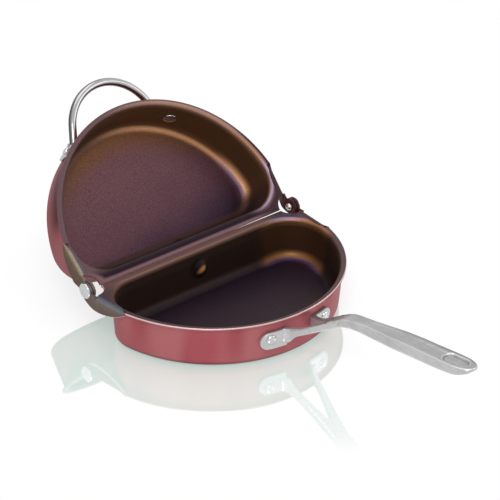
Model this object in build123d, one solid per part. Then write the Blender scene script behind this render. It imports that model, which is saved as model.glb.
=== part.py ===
from build123d import *
from math import asin, atan2, cos, degrees, radians, sin, sqrt, tan
import os

# Folding omelette pan: two half-round pans on a rivet hinge, a forked cast handle on the lower pan
# and a bent-rod loop handle on the upper one. Millimetres, X along the hinge, Y from the main
# handle towards the hinge, Z up. The origin is on the resting face, under the rim's round centre.

# Pan pressing
pan_depth = 42.9
rim_radius = 122.0
rim_overhang = 4.0
centre_to_hinge = 23.6
wall_setback = 1.9
sheet = 2.5
wall_thickness = 3.2
floor_thickness = 3.5
wall_draft = 4.2
outer_floor_radius = 7.5
inner_floor_radius = 9.0
rim_mouth_radius = 3.6
wall_corner_radius = 34.0

# Hinge side of each pan
rim_clearance = 0.3
hinge_edge_gap = 0.5
hinge_lip = 6.0
notch_from_rim = 16.5
notch_radius = 12.0
dimple_width = 17.0
dimple_depth = 3.0
dimple_down = 18.0

# Hinge ears: where their outer faces lie against the rim's radius by the hinge and by the kink
lower_ear_out = 0.5
lower_kink_in = 2.6
upper_kink_in = 1.8
lower_ear_reach = 51.0
upper_ear_reach = 46.0
ear_straight_from_hinge = 18.0
ear_end_radius = 8.4
lower_ear_drop = 14.6
upper_ear_drop = 17.2
ear_low_from_hinge = 13.5

# Hinge washers and rivets
washer_thickness = 0.8
washer_radius = 6.0
running_gap = 0.1
hinge_pin_radius = 2.6
hinge_bore_gap = 0.05
hinge_head_radius = 7.2
hinge_head_height = 2.2
hinge_head_bevel = 1.1
hinge_tail_radius = 3.9
hinge_tail_height = 2.8

# Open angle between the two rims as the object stands
open_angle = 135.4

# Main handle
handle_rivet_angle = 15.0
handle_rivet_up = 25.2
pad_centre_up = 22.8
pad_height = 17.8
pad_inner_height = 16.0
pad_thickness = 3.5
pad_outer_reach = 9.8
pad_inner_reach = 16.4
arm_root_half_width = 17.8
arm_width = 4.4
fork_length = 45.0
handle_length = 203.5
grip_half_width = 11.8
thumb_recess_length = 25.0
thumb_recess_width = 11.5
thumb_recess_depth = 1.6
thumb_recess_from_tip = 21.0

# Side view of the handle: shares of its length past the wall and of its rise
arm_root_top = 30.8
arm_root_bottom = 13.0
tip_top = 86.3
tip_bottom = 84.0
top_line_shares = ((0.061, 0.076), (0.14, 0.265), (0.224, 0.481), (0.3, 0.634), (0.361, 0.69))
top_grip_shares = ((0.483, 0.766), (0.666, 0.865), (0.849, 0.939))
bottom_line_shares = ((0.042, 0.169), (0.096, 0.275), (0.14, 0.352), (0.224, 0.5), (0.3, 0.628))
bottom_grip_shares = ((0.361, 0.675), (0.483, 0.723), (0.666, 0.796), (0.849, 0.862))
bottom_tip_shares = ((0.935, 0.903), (0.98, 0.955))

# Plan view of the handle: shares of the same length and of the grip's half width
plan_arm_shares = ((0.1, 1.18), (0.2, 0.87), (0.26, 0.735), (0.361, 0.712))
plan_grip_shares = ((0.483, 0.82), (0.605, 0.965), (0.727, 1.0), (0.849, 1.0), (0.921, 0.95))
nose_shares = ((0.97, 0.72), (1.0, 0.0))

# Rivets in the pan walls
wall_rivet_radius = 2.5
wall_rivet_gap = 0.05
handle_rivet_head_radius = 4.6
handle_rivet_head_height = 2.6
inner_rivet_head_radius = 5.2
inner_rivet_head_height = 1.8
head_crown_share = 0.5
head_skirt_share = 0.4

# Loop handle
rod_radius = 3.7
loop_tilt = -9.0
loop_depth = 23.1
loop_rise = 34.4
loop_arch_radius = 45.8
loop_leg_slant = 21.4
loop_leg_length = 27.0
loop_rivet_angle = 30.5
loop_foot_height = 12.5
loop_foot_thickness = 2.5
loop_foot_outer_reach = 11.0
loop_foot_inner_reach = 14.0
loop_rivet_head_radius = 4.4
loop_rivet_head_height = 2.4

overrun = 40.0
draft_slope = tan(radians(wall_draft))
rim_top = -rim_clearance
body_height = pan_depth - rim_clearance
wall_radius = rim_radius - rim_overhang
wall_centre = centre_to_hinge + wall_setback
notch_start = rim_radius - notch_from_rim
lower_ear_outer = rim_radius + lower_ear_out
upper_ear_outer = lower_ear_outer - sheet - washer_thickness - running_gap
handle_depth = body_height - handle_rivet_up


def d_face(centre, radius, edge, corner):
    """Half-round outline round a centre, cut straight at edge from the hinge axis."""
    face = Pos(0, -centre) * Circle(radius)
    face -= Pos(0, 2 * radius - edge) * Rectangle(4 * radius, 4 * radius)
    return fillet(face.vertices(), corner) if corner else face


def tub(grow, depth, floor_radius):
    """Solid with the pan wall's outside form, grown by grow, from the rim down to depth."""
    edge = hinge_edge_gap + hinge_lip - grow
    outline = d_face(wall_centre, wall_radius + grow, edge, wall_corner_radius + grow)
    solid = extrude(Pos(0, 0, rim_top) * outline, amount=-depth, taper=wall_draft)
    if floor_radius:
        solid = fillet(solid.edges().group_by(Axis.Z)[0], floor_radius)
    return solid


def wall_plane(angle, depth):
    """Plane on the outside of the round wall: z outwards, x along the wall, y towards the rim."""
    radius = wall_radius - depth * draft_slope
    out = Vector(sin(radians(angle)), -cos(radians(angle)), 0)
    spot = Vector(0, -wall_centre, rim_top - depth) + out * radius
    normal = out * cos(radians(wall_draft)) - Vector(0, 0, sin(radians(wall_draft)))
    along = Vector(cos(radians(angle)), sin(radians(angle)), 0)
    return Plane(origin=spot, x_dir=along, z_dir=normal)


def ear_profile(kink, drop):
    """Side view of an ear: round end about the hinge axis, then a long drooping skirt."""
    low = ear_low_from_hinge
    rise = drop - sheet - rim_clearance
    long_radius = ((kink - low) ** 2 + rise ** 2) / (2 * rise)
    short_radius = (low ** 2 + drop ** 2 - ear_end_radius ** 2) / (2 * (drop - ear_end_radius))
    top_angle = degrees(asin(rim_clearance / ear_end_radius))
    meet_angle = degrees(atan2(short_radius - drop, low))
    long_sweep = degrees(asin((kink - low) / long_radius))
    end = CenterArc((0, 0), ear_end_radius, -meet_angle, 180 + top_angle + meet_angle)
    short = CenterArc((-low, short_radius - drop), short_radius, -90, 90 - meet_angle)
    long = CenterArc((-low, long_radius - drop), long_radius, -90 - long_sweep, long_sweep)
    edge = Line(long @ 0, (-kink, rim_top))
    top = Line((-kink, rim_top), end @ 1)
    return make_face(Curve() + [end, short, long, edge, top])


def ear(side, outer, kink_outer, reach, drop):
    """One bent-down ear, its outer face at outer by the hinge and at kink_outer by the kink."""
    end = ear_end_radius
    straight = -ear_straight_from_hinge
    kink = -reach
    line = [(outer, end), (outer, straight), (kink_outer, kink)]
    back = [(kink_outer - sheet, kink), (outer - sheet, straight), (outer - sheet, end)]
    strip = extrude(make_face(Polyline(*line, *back, close=True)), amount=overrun, both=True)
    plate = extrude(Plane.YZ * ear_profile(reach, drop), amount=2 * rim_radius, both=True)
    solid = strip & plate
    bore = Cylinder(hinge_pin_radius + hinge_bore_gap, 4 * rim_radius, rotation=(0, 90, 0))
    solid -= bore
    return solid if side > 0 else mirror(solid, about=Plane.YZ)


def pan_half(ear_outer, kink_outer, ear_reach, ear_drop, rivet_angle, rivet_depth):
    """One pan with its hinge axis on the X axis, its rim just below it and its body towards -Y."""
    outer_wall = tub(0, body_height, outer_floor_radius)
    inner_wall = tub(-wall_thickness, body_height - floor_thickness, inner_floor_radius)

    dish_radius = (dimple_width ** 2 / 4 + dimple_depth ** 2) / (2 * dimple_depth)
    wall_inside = hinge_edge_gap + hinge_lip + wall_thickness + dimple_down * draft_slope
    dish_centre = Pos(0, -(wall_inside - dimple_depth + dish_radius), rim_top - dimple_down)
    bump = dish_centre * Sphere(dish_radius + wall_thickness)
    dish = dish_centre * Sphere(dish_radius)

    # Round rim with a straight hinge edge, its mouth rounded into the wall
    rim = d_face(centre_to_hinge, rim_radius, hinge_edge_gap, 0)
    pan = outer_wall + bump + extrude(Pos(0, 0, rim_top) * rim, amount=-sheet)
    pan -= inner_wall + dish
    pan = fillet([e for e in pan.edges() if rim_mouth_edge(e)], rim_mouth_radius)

    # Corners that carry the rim out to the ears, round notches by the hinge rivets, ears and holes
    for side in (-1, 1):
        pan += rim_corner(side, ear_outer, kink_outer, ear_reach)
        notch = Pos(side * (notch_start + notch_radius), -hinge_edge_gap)
        pan -= notch * Cylinder(notch_radius, 2 * overrun)
        beside = notch * Pos(side * notch_radius, 0)
        pan -= beside * Box(2 * notch_radius, 2 * notch_radius, 2 * overrun)
        pan += ear(side, ear_outer, kink_outer, ear_reach, ear_drop)
        hole = wall_plane(side * rivet_angle, rivet_depth)
        pan -= hole * Cylinder(wall_rivet_radius + wall_rivet_gap, 4 * wall_thickness)
    return pan


def rim_corner(side, ear_outer, kink_outer, reach):
    """Flat piece of rim between the round rim and the outer face of an ear."""
    straight = -ear_straight_from_hinge
    kink = -reach
    on_rim = sqrt(rim_radius ** 2 - (kink - sheet + centre_to_hinge) ** 2)
    inside = notch_start + notch_radius / 2
    edge = -hinge_edge_gap
    points = [(notch_start, edge), (ear_outer, edge), (ear_outer, straight), (kink_outer, kink)]
    points += [(on_rim, kink - sheet), (inside, kink - sheet), (inside, straight)]
    face = make_face(Polyline(*[(side * x, y) for x, y in points], close=True))
    return extrude(Pos(0, 0, rim_top) * face, amount=-sheet)


def rim_mouth_edge(edge):
    """True for the edges round the cavity's mouth, at the top of the rim."""
    level = edge.bounding_box().min.Z
    middle = edge @ 0.5
    from_centre = sqrt(middle.X ** 2 + (middle.Y + wall_centre) ** 2)
    near_wall = from_centre < wall_radius - wall_thickness / 2
    inside_lip = middle.Y < -(hinge_edge_gap + sheet)
    return abs(level - rim_top) < rim_clearance / 2 and near_wall and inside_lip


def wall_pad(side, angle, depth, height, inner_height, outer_reach, inner_reach, thickness):
    """Plate that hugs the round wall, round at its outer end and straight at its inner one."""
    half = height / 2
    centre = outer_reach - half
    low_step = half
    high_step = inner_height - half
    shape = Pos(side * centre, 0) * Circle(half)
    points = [(centre, -half), (centre, half), (-inner_reach, high_step), (-inner_reach, -low_step)]
    shape += make_face(Polyline(*[(side * x, y) for x, y in points], close=True))
    block = extrude(wall_plane(side * angle, depth) * shape, amount=overrun / 4, both=True)
    shell = tub(thickness, body_height, 0) - tub(0, body_height, 0)
    return block & shell


def turned(points):
    """Solid turned about Z from its half outline, given as radius and height."""
    return revolve(Plane.XZ * make_face(Polyline(*points, close=True)), Axis.Z)


def head(radius, height, seat):
    """Half outline of a bevelled head from its seat to its crown, which may lie below the seat."""
    skirt = seat + height * head_skirt_share
    crown = seat + height
    return [(radius, seat), (radius, skirt), (radius * head_crown_share, crown), (0, crown)]


def wall_rivet(side, angle, depth, seat, head_radius, head_height):
    """Rivet through the wall: its head on the outside piece, a low flat head inside the pan."""
    # The rim of a flat head rests on the hollow wall, so its middle stands off by the arc's height
    stand_off = inner_rivet_head_radius ** 2 / (2 * (wall_radius - 2 * wall_thickness))
    inner_seat = -wall_thickness - stand_off
    points = head(head_radius, head_height, seat)[::-1]
    points += [(wall_rivet_radius, seat), (wall_rivet_radius, inner_seat)]
    points += head(inner_rivet_head_radius, -inner_rivet_head_height, inner_seat)
    return wall_plane(side * angle, depth) * turned(points)


def hinge_rivet(side):
    """Rivet along the hinge axis: wide bevelled head outside, formed tail inside the upper ear."""
    seat = lower_ear_outer
    tail_seat = upper_ear_outer - sheet - running_gap
    crown = seat + hinge_head_height
    flat_radius = hinge_head_radius - hinge_head_bevel
    points = [(0, crown), (flat_radius, crown), (hinge_head_radius, crown - hinge_head_bevel)]
    points += [(hinge_head_radius, seat), (hinge_pin_radius, seat), (hinge_pin_radius, tail_seat)]
    points += head(hinge_tail_radius, -hinge_tail_height, tail_seat)
    return Rot(0, side * 90, 0) * turned(points)


def hinge_washer(side):
    """Thin washer in the gap between the two ears."""
    middle = lower_ear_outer - sheet - washer_thickness / 2
    bore_radius = hinge_pin_radius + hinge_bore_gap
    ring = Cylinder(washer_radius, washer_thickness) - Cylinder(bore_radius, 2 * washer_thickness)
    return Rot(0, side * 90, 0) * Pos(0, 0, middle) * ring


def main_handle():
    """Cast handle: two feet on the wall, a fork of two rising arms, a flat grip with a recess."""
    front = -(wall_centre + wall_radius)
    floor = -pan_depth
    root = front + overrun / 4

    def line(shares, start, end):
        rise = end - start
        points = [(root, floor + start)]
        points += [(front - x * handle_length, floor + start + z * rise) for x, z in shares]
        return points + [(front - handle_length, floor + end)]

    top = line(top_line_shares + top_grip_shares, arm_root_top, tip_top)
    bottom_shares = bottom_line_shares + bottom_grip_shares + bottom_tip_shares
    low = line(bottom_shares, arm_root_bottom, tip_bottom)
    ends = [Line(top[-1], low[-1]), Line(low[0], top[0])]
    side_view = make_face([Spline(*top), Spline(*low), *ends])
    side_block = extrude(Plane.YZ * side_view, amount=2 * arm_root_half_width, both=True)

    shares = plan_arm_shares + plan_grip_shares + nose_shares
    half = arm_root_half_width
    edge = [(half, front)]
    edge += [(w * grip_half_width, front - x * handle_length) for x, w in shares]
    start = (edge[1][0] - edge[0][0], edge[1][1] - edge[0][1])
    right = Spline(*edge, tangents=[start, (-1, 0)])
    foot = Polyline((half, front), (half, root), (-half, root), (-half, front))
    outline = make_face([right, mirror(right, about=Plane.YZ), foot])
    gap = half - arm_width
    crotch = (0, front - fork_length)
    gap_line = [(-gap, root), (-gap, front), crotch, (gap, front), (gap, root)]
    outline -= make_face(Polyline(*gap_line, close=True))
    handle = side_block & extrude(Pos(0, 0, floor) * outline, amount=2 * tip_top)

    # Blind oval recess for the thumb, sunk square to the top line between its last two points
    last_share, last_rise = top_grip_shares[-1]
    run = (1 - last_share) * handle_length
    climb = (1 - last_rise) * (tip_top - arm_root_top)
    height = tip_top - climb * thumb_recess_from_tip / run
    spot = (0, front - handle_length + thumb_recess_from_tip, floor + height - thumb_recess_depth)
    seat = Plane(origin=spot, x_dir=(0, -run, climb), z_dir=(0, climb, run))
    handle -= extrude(seat * SlotOverall(thumb_recess_length, thumb_recess_width), amount=overrun)

    for side in (-1, 1):
        handle += wall_pad(side, handle_rivet_angle, body_height - pad_centre_up, pad_height,
                           pad_inner_height, pad_outer_reach, pad_inner_reach, pad_thickness)
    handle -= tub(0, body_height, 0)
    for side in (-1, 1):
        hole = wall_plane(side * handle_rivet_angle, handle_depth)
        handle -= hole * Cylinder(wall_rivet_radius + wall_rivet_gap, 4 * pad_thickness)
    return handle


def loop_handle():
    """Bent rod: round arch, slanting legs, two flattened feet on the wall."""
    tilt = radians(loop_tilt)
    slant = radians(loop_leg_slant)
    base = Vector(0, -wall_centre - wall_radius + loop_depth * draft_slope, rim_top - loop_depth)
    flat = Plane(origin=base, x_dir=(1, 0, 0), z_dir=(0, sin(tilt), -cos(tilt)))
    centre = loop_rise - loop_arch_radius
    touch = (loop_arch_radius * cos(slant), centre + loop_arch_radius * sin(slant))
    foot = (touch[0] + loop_leg_length * sin(slant), touch[1] - loop_leg_length * cos(slant))
    arch = CenterArc((0, centre), loop_arch_radius, loop_leg_slant, 180 - 2 * loop_leg_slant)
    legs = [Line(foot, touch), Line((-touch[0], touch[1]), (-foot[0], foot[1]))]
    path = flat * Wire([legs[0], arch, legs[1]])
    rod = sweep(Plane(origin=path @ 0, z_dir=path % 0) * Circle(rod_radius), path=path)
    for side in (-1, 1):
        rod += wall_pad(side, loop_rivet_angle, loop_depth, loop_foot_height, loop_foot_height,
                        loop_foot_outer_reach, loop_foot_inner_reach, loop_foot_thickness)
    rod -= tub(0, body_height, 0)
    for side in (-1, 1):
        hole = wall_plane(side * loop_rivet_angle, loop_depth)
        rod -= hole * Cylinder(wall_rivet_radius + wall_rivet_gap, 4 * loop_foot_thickness)
    return rod


os.makedirs("parts", exist_ok=True)

on_stand = Pos(0, centre_to_hinge, pan_depth)
opened = on_stand * Rot(180 - open_angle, 0, 0) * Rot(0, 0, 180)

lower_kink = rim_radius - lower_kink_in
upper_kink = rim_radius - upper_kink_in
lower_ear = (lower_ear_outer, lower_kink, lower_ear_reach, lower_ear_drop)
upper_ear = (upper_ear_outer, upper_kink, upper_ear_reach, upper_ear_drop)
lower_pan = pan_half(*lower_ear, handle_rivet_angle, handle_depth)
upper_pan = pan_half(*upper_ear, loop_rivet_angle, loop_depth)
grip = main_handle()
loop = loop_handle()

pieces = {"lower_pan": on_stand * lower_pan, "main_handle": on_stand * grip}
pieces["upper_pan"] = opened * upper_pan
pieces["loop_handle"] = opened * loop
for side, name in ((-1, "left"), (1, "right")):
    pieces[f"hinge_rivet_{name}"] = on_stand * hinge_rivet(side)
    pieces[f"hinge_washer_{name}"] = on_stand * hinge_washer(side)
    rivet = wall_rivet(side, handle_rivet_angle, handle_depth, pad_thickness,
                       handle_rivet_head_radius, handle_rivet_head_height)
    pieces[f"handle_rivet_{name}"] = on_stand * rivet
    rivet = wall_rivet(-side, loop_rivet_angle, loop_depth, loop_foot_thickness,
                       loop_rivet_head_radius, loop_rivet_head_height)
    pieces[f"loop_rivet_{name}"] = opened * rivet
for name, piece in pieces.items():
    export_step(piece, f"parts/{name}.step")
    print(name, round(piece.volume, 1))
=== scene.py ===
# Folding omelette pan: enamel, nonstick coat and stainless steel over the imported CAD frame.
# Shapes are worked out in millimetres in the pan's own place (hinge axis on X, pan towards -Y,
# rim on top) and put into the frame at the end.
import bpy
import numpy as np
from mathutils import Matrix


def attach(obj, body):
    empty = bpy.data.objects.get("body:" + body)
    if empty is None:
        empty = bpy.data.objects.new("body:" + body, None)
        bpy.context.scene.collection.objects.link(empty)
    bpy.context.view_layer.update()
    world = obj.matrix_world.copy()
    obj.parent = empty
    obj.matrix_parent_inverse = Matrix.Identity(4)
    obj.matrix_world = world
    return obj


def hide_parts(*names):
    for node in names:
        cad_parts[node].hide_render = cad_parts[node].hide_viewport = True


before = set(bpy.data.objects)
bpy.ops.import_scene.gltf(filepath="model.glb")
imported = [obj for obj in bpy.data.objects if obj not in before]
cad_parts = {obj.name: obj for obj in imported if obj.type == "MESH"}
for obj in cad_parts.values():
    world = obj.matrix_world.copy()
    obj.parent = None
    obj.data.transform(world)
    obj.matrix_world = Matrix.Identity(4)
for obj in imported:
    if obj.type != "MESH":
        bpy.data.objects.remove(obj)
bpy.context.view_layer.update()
print("frame loaded")

mm = 0.001
pan = {
    "depth": 42.9, "rimRadius": 122.0, "rimCentre": 23.6, "wallRadius": 118.0, "wallCentre": 25.5,
    "sheet": 2.5, "wall": 3.2, "floor": 3.5, "draft": 4.2, "outerFloorRadius": 7.5,
    "innerFloorRadius": 9.0, "mouthRadius": 3.6, "cornerRadius": 34.0, "rimGap": 0.3,
    "hingeEdge": 0.06, "hingeEdgeEnd": 0.6, "hingeEdgeFrom": 46.0, "kinkOverlap": 1.2, "kinkTurn": 0.3,
    "hingeWall": 6.5, "notchStart": 105.5, "notchRadius": 12.0, "underRimRadius": 1.3,
    "edgeRound": 0.5, "hingeRound": 0.08, "hingeBack": -1.5, "coatEdge": 1.2, "openAngle": 135.4,
    "dimpleRadius": 10.0, "dimpleHeight": 3.4, "dimpleDown": 17.5, "dimpleFrom": -16.0,
    # The shell's rings: rays from the eye, closer at corners, notch and dimple, and shares of each face
    "eye": (0.0, -60.0), "evenRays": 360, "cornerTurn": 0.0006, "notchRays": (14, 32, 70),
    "dimpleRays": (74, 106, 54), "floorParts": (0.02, 0.15, 0.35, 0.55, 0.75, 0.88, 0.95, 0.99),
    "rimParts": (0.33, 0.66, 1.0), "baseParts": (0.96, 0.8, 0.4, 0.02),
}
ears = {
    "lower": {"outer": 122.5, "kinkOuter": 119.4, "reach": 51.0, "drop": 14.6, "flare": 0.0},
    "upper": {"outer": 119.1, "kinkOuter": 120.2, "reach": 46.0, "drop": 12.9, "flare": 0.24},
}
earShape = {
    "straight": 18.0, "endRadius": 7.9, "low": 13.5, "bend": 4.2, "innerBend": 0.6, "tongue": 3.0,
    "edge": 0.5, "kinkOut": 0.4, "lift": 0.02, "leanFrom": 4.0, "leanRun": 9.0, "leanBelow": 2.5,
    "kinkBend": 0.8, "bendGrowth": 0.45, "tongueGrowth": 0.15, "leastFace": 0.3, "leastBend": 0.6,
}
# How far the band attribute has come at the end of each part of the pan's inside
bandEnd = {"floor": 0.3, "fillet": 0.45, "wall": 0.8, "mouth": 0.9}
slope = np.tan(np.radians(pan["draft"]))
bodyHeight = pan["depth"] - pan["rimGap"]


def onStand(points):
    # A lower-pan point in mm goes up by the pan's depth and back by the hinge's distance
    return (points + np.array([0, pan["rimCentre"], pan["depth"]])) * mm


def opened(points):
    # An upper-pan point is turned half round Z, tipped back about the hinge, then put on the stand
    turn = np.radians(180 - pan["openAngle"])
    x, y, z = -points[..., 0], -points[..., 1], points[..., 2]
    tipped = np.stack([x, y * np.cos(turn) - z * np.sin(turn), y * np.sin(turn) + z * np.cos(turn)], -1)
    return onStand(tipped)


def closedShell(name, loops, place, materials, slots=0, band=0.0, sharp=35):
    # loops is (rows, columns, 3): each row a closed ring, each end of the stack closed by a fan to
    # its middle. Material slots spread over the faces and the band over the points. Faces are turned
    # outwards by the sign of the enclosed volume.
    rows, columns = loops.shape[:2]
    own = np.concatenate([loops.reshape(-1, 3), [loops[0].mean(0), loops[-1].mean(0)]])
    points = place(own)
    index = np.arange(rows * columns).reshape(rows, columns)
    after = np.roll(index, -1, axis=1)
    quads = np.stack([index[:-1], after[:-1], after[1:], index[1:]], -1).reshape(-1, 4)
    first = np.stack([np.full(columns, rows * columns), after[0], index[0]], -1)
    last = np.stack([np.full(columns, rows * columns + 1), index[-1], after[-1]], -1)
    triangles = np.concatenate([quads[:, [0, 1, 2]], quads[:, [0, 2, 3]], first, last])
    a, b, c = (points[triangles[:, corner]] for corner in range(3))
    if np.einsum("ij,ij->i", a, np.cross(b, c)).sum() < 0:
        quads, first, last = quads[:, ::-1], first[:, ::-1], last[:, ::-1]
    mesh = bpy.data.meshes.new(name)
    mesh.from_pydata(points.tolist(), [], quads.tolist() + first.tolist() + last.tolist())
    for material in materials:
        mesh.materials.append(material)
    grid = np.broadcast_to(slots, (rows - 1, columns))
    faceSlots = np.concatenate([grid.ravel(), grid[0], grid[-1]]).astype(np.int32)
    mesh.polygons.foreach_set("material_index", faceSlots)
    spot = mesh.attributes.new("spot", "FLOAT_VECTOR", "POINT")
    spot.data.foreach_set("vector", (own * 0.01).astype(np.float32).ravel())
    grid = np.broadcast_to(band, (rows, columns))
    values = np.concatenate([grid.ravel(), [grid[0].mean(), grid[-1].mean()]]).astype(np.float32)
    mesh.attributes.new("band", "FLOAT", "POINT").data.foreach_set("value", values)
    mesh.validate()
    mesh.shade_smooth()
    mesh.set_sharp_from_angle(angle=np.radians(sharp))
    piece = bpy.data.objects.new(name, mesh)
    bpy.context.scene.collection.objects.link(piece)
    return piece


def joined(name, parts):
    # Several closed shells made one object, each keeping its own faces
    with bpy.context.temp_override(active_object=parts[0], selected_editable_objects=parts):
        bpy.ops.object.join()
    parts[0].name = name
    parts[0].data.name = name
    return parts[0]


def arc(radius, start, stop, count):
    # Points of a circle about the origin, angles in degrees
    angle = np.radians(np.linspace(start, stop, count))
    return np.stack([radius * np.cos(angle), radius * np.sin(angle)], -1)


def unit(vectors):
    # Each vector divided by its length
    return vectors / np.linalg.norm(vectors, axis=-1, keepdims=True)


def onWall(turn, depth, out):
    # A place off the outer face of the round wall: turned from -Y about the wall's centre, so deep
    # under the rim, so far out from the drafted wall
    far = pan["wallRadius"] - depth * slope + out
    x, y, z = far * np.sin(turn), -pan["wallCentre"] - far * np.cos(turn), -pan["rimGap"] - depth
    return np.stack(np.broadcast_arrays(x, y, z), -1)


def around(count):
    # Even angles once round
    return np.linspace(0, 2 * np.pi, count, endpoint=False)


def squarish(count, power):
    # Points of the squarish oval |x|^p + |z|^p = 1
    c, s = np.cos(around(count)), np.sin(around(count))
    return np.sign(c) * np.abs(c) ** (2 / power), np.sign(s) * np.abs(s) ** (2 / power)


def cubic(t, a, b, leaving, arriving):
    # Cubic from a to b as t goes from 0 to 1, with the given directions at its ends
    return ((2 * t ** 3 - 3 * t ** 2 + 1) * a + (t ** 3 - 2 * t ** 2 + t) * leaving
            + (3 * t ** 2 - 2 * t ** 3) * b + (t ** 3 - t ** 2) * arriving)


def nodeMaterial(name):
    # A new material, its tree and its Principled shader
    material = bpy.data.materials.new(name)
    material.use_nodes = True
    tree = material.node_tree
    return material, tree, tree.nodes["Principled BSDF"]


def add(tree, kind, inputs=None, **settings):
    # One shader node with its settings, its sockets fed by a value or by another node's output
    node = tree.nodes.new("ShaderNode" + kind)
    for key, value in settings.items():
        setattr(node, key, value)
    for key, value in (inputs or {}).items():
        if isinstance(value, bpy.types.NodeSocket):
            tree.links.new(value, node.inputs[key])
        else:
            node.inputs[key].default_value = value
    return node


def linear(colour):
    # sRGB of 0 to 255 to linear light
    c = np.array(colour, float) / 255
    return tuple(np.where(c <= 0.04045, c / 12.92, ((c + 0.055) / 1.055) ** 2.4))


def ramp(tree, factor, stops):
    # Colour ramp: stops are (position, sRGB colour of 0 to 255)
    node = add(tree, "ValToRGB", {"Fac": factor})
    while len(node.color_ramp.elements) < len(stops):
        node.color_ramp.elements.new(0.5)
    for element, (position, colour) in zip(node.color_ramp.elements, stops):
        element.position = position
        element.color = (*linear(colour), 1)
    return node.outputs["Color"]


def mixColour(tree, factor, a, b, blend="MIX"):
    # The share of b in a; each of them is a node's output or an sRGB colour of 0 to 255
    node = add(tree, "Mix", data_type="RGBA", blend_type=blend)
    for socket, value in ((node.inputs[0], factor), (node.inputs[6], a), (node.inputs[7], b)):
        if isinstance(value, bpy.types.NodeSocket):
            tree.links.new(value, socket)
        else:
            socket.default_value = (*linear(value), 1) if isinstance(value, tuple) else value
    return node.outputs[2]


def maths(tree, operation, *values):
    # One operation on numbers
    return add(tree, "Math", dict(enumerate(values)), operation=operation).outputs[0]


def product(tree, *parts):
    # Product of its parts: numbers, or value, start and stop of a fade
    values = [fade(tree, *part) if isinstance(part, tuple) else part for part in parts]
    result = values[0]
    for value in values[1:]:
        result = maths(tree, "MULTIPLY", result, value)
    return result


def paint(tree, under, over, *parts, blend="MIX"):
    # One colour laid over another, its share the product of the parts
    return mixColour(tree, product(tree, *parts), under, over, blend)


def vectorMaths(tree, operation, *values):
    # One operation on vectors; a distance or a length is a number
    node = add(tree, "VectorMath", dict(enumerate(values)), operation=operation)
    return node.outputs["Value" if operation in ("DISTANCE", "LENGTH") else "Vector"]


def fade(tree, value, start, stop):
    # Smooth rise from 0 to 1 as the value goes from start to stop, either way round
    turned = start > stop
    inputs = {"Value": value, "From Min": min(start, stop), "From Max": max(start, stop),
              "To Min": 1.0 * turned, "To Max": 1.0 - turned}
    return add(tree, "MapRange", inputs, interpolation_type="SMOOTHSTEP").outputs["Result"]


def straight(tree, value, start, stop, least=0.0):
    # Straight rise from the least share to 1 as the value goes from start to stop
    inputs = {"Value": value, "From Min": start, "From Max": stop, "To Min": least}
    return add(tree, "MapRange", inputs).outputs["Result"]


def attribute(tree, name, output):
    # What a mesh carries: spot is its own place in 0.1 m, band runs from the floor up to the rim
    return add(tree, "Attribute", attribute_name=name).outputs[output]


def axis(tree, vector, name):
    # One part of a vector
    return add(tree, "SeparateXYZ", {"Vector": vector}).outputs[name]


def noise(tree, vector, scale, detail, rough=0.55):
    # Fractal noise of 0 to 1
    inputs = {"Vector": vector, "Scale": scale, "Detail": detail, "Roughness": rough}
    return add(tree, "TexNoise", inputs).outputs["Fac"]


def stretched(tree, vector, scale, rotation=(0, 0, 0)):
    # The vector scaled axis by axis and then turned
    inputs = {"Vector": vector, "Scale": scale, "Rotation": rotation}
    return add(tree, "Mapping", inputs).outputs["Vector"]


def setValues(shader, **values):
    # Plain values for the shader's sockets
    for key, value in values.items():
        shader.inputs[key.replace("_", " ")].default_value = value


def dress(tree, shader, colour, height=None, strength=0.0, distance=0.0, **values):
    # Base colour, plain values and, where a height is given, a bump
    tree.links.new(colour, shader.inputs["Base Color"])
    setValues(shader, **values)
    if height is not None:
        bump = add(tree, "Bump", {"Height": height, "Strength": strength, "Distance": distance})
        tree.links.new(bump.outputs["Normal"], shader.inputs["Normal"])


enamelLook = {
    # The rim's red is painted shade high up on the shaded side, dark on the upper half; the upper half's low
    # red is a paler painted reflection
    "lower": {"colour": (149, 74, 80), "paleHighlightRed": (168, 103, 105), "rim": (150, 76, 84),
              "sheen": (226, 190, 190), "specular": 0.24, "flake": 0.2},
    "upper": {"colour": (138, 64, 72), "paleHighlightRed": (152, 86, 90), "rim": (54, 4, 10), "low": (146, 96, 98),
              "sheen": (130, 66, 72), "specular": 0.12, "flake": 0.1},
    # The heel's deep red is painted shade where the wall rounds under
    "heel": (96, 40, 44), "flakes": [(0.3, (132, 50, 60)), (0.7, (178, 88, 96))], "metal": 0.3,
    # The streak colour is a painted highlight
    "streak": (190, 120, 122), "highlightStreaks": [(0.5, (0, 0, 0)), (0.66, (84, 84, 84))],
    "gloss": [(0.3, (168, 168, 168)), (0.7, (184, 184, 184))],
    "cloudStretch": (1.6, 1.6, 0.5), "streakStretch": (0.9, 0.9, 40.0), "cloudNoise": (1.6, 1.0),
    "streakNoise": (2.0, 3.0), "flakeNoise": (260.0, 1.0), "deepNoise": (6.0, 2.0), "bump": (0.08, 0.0002),
    "shadedSide": (0.2, 0.9), "paleReflectionBack": (-0.9, -0.3), "rimShadeDepth": (-0.36, -0.14), "rimShadeBack": (-0.52, -0.72),
    "heelShadeDepth": (-0.429, -0.365),
    "deepShade": [(0.35, (52, 10, 14)), (0.65, (92, 22, 30))],
}


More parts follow.
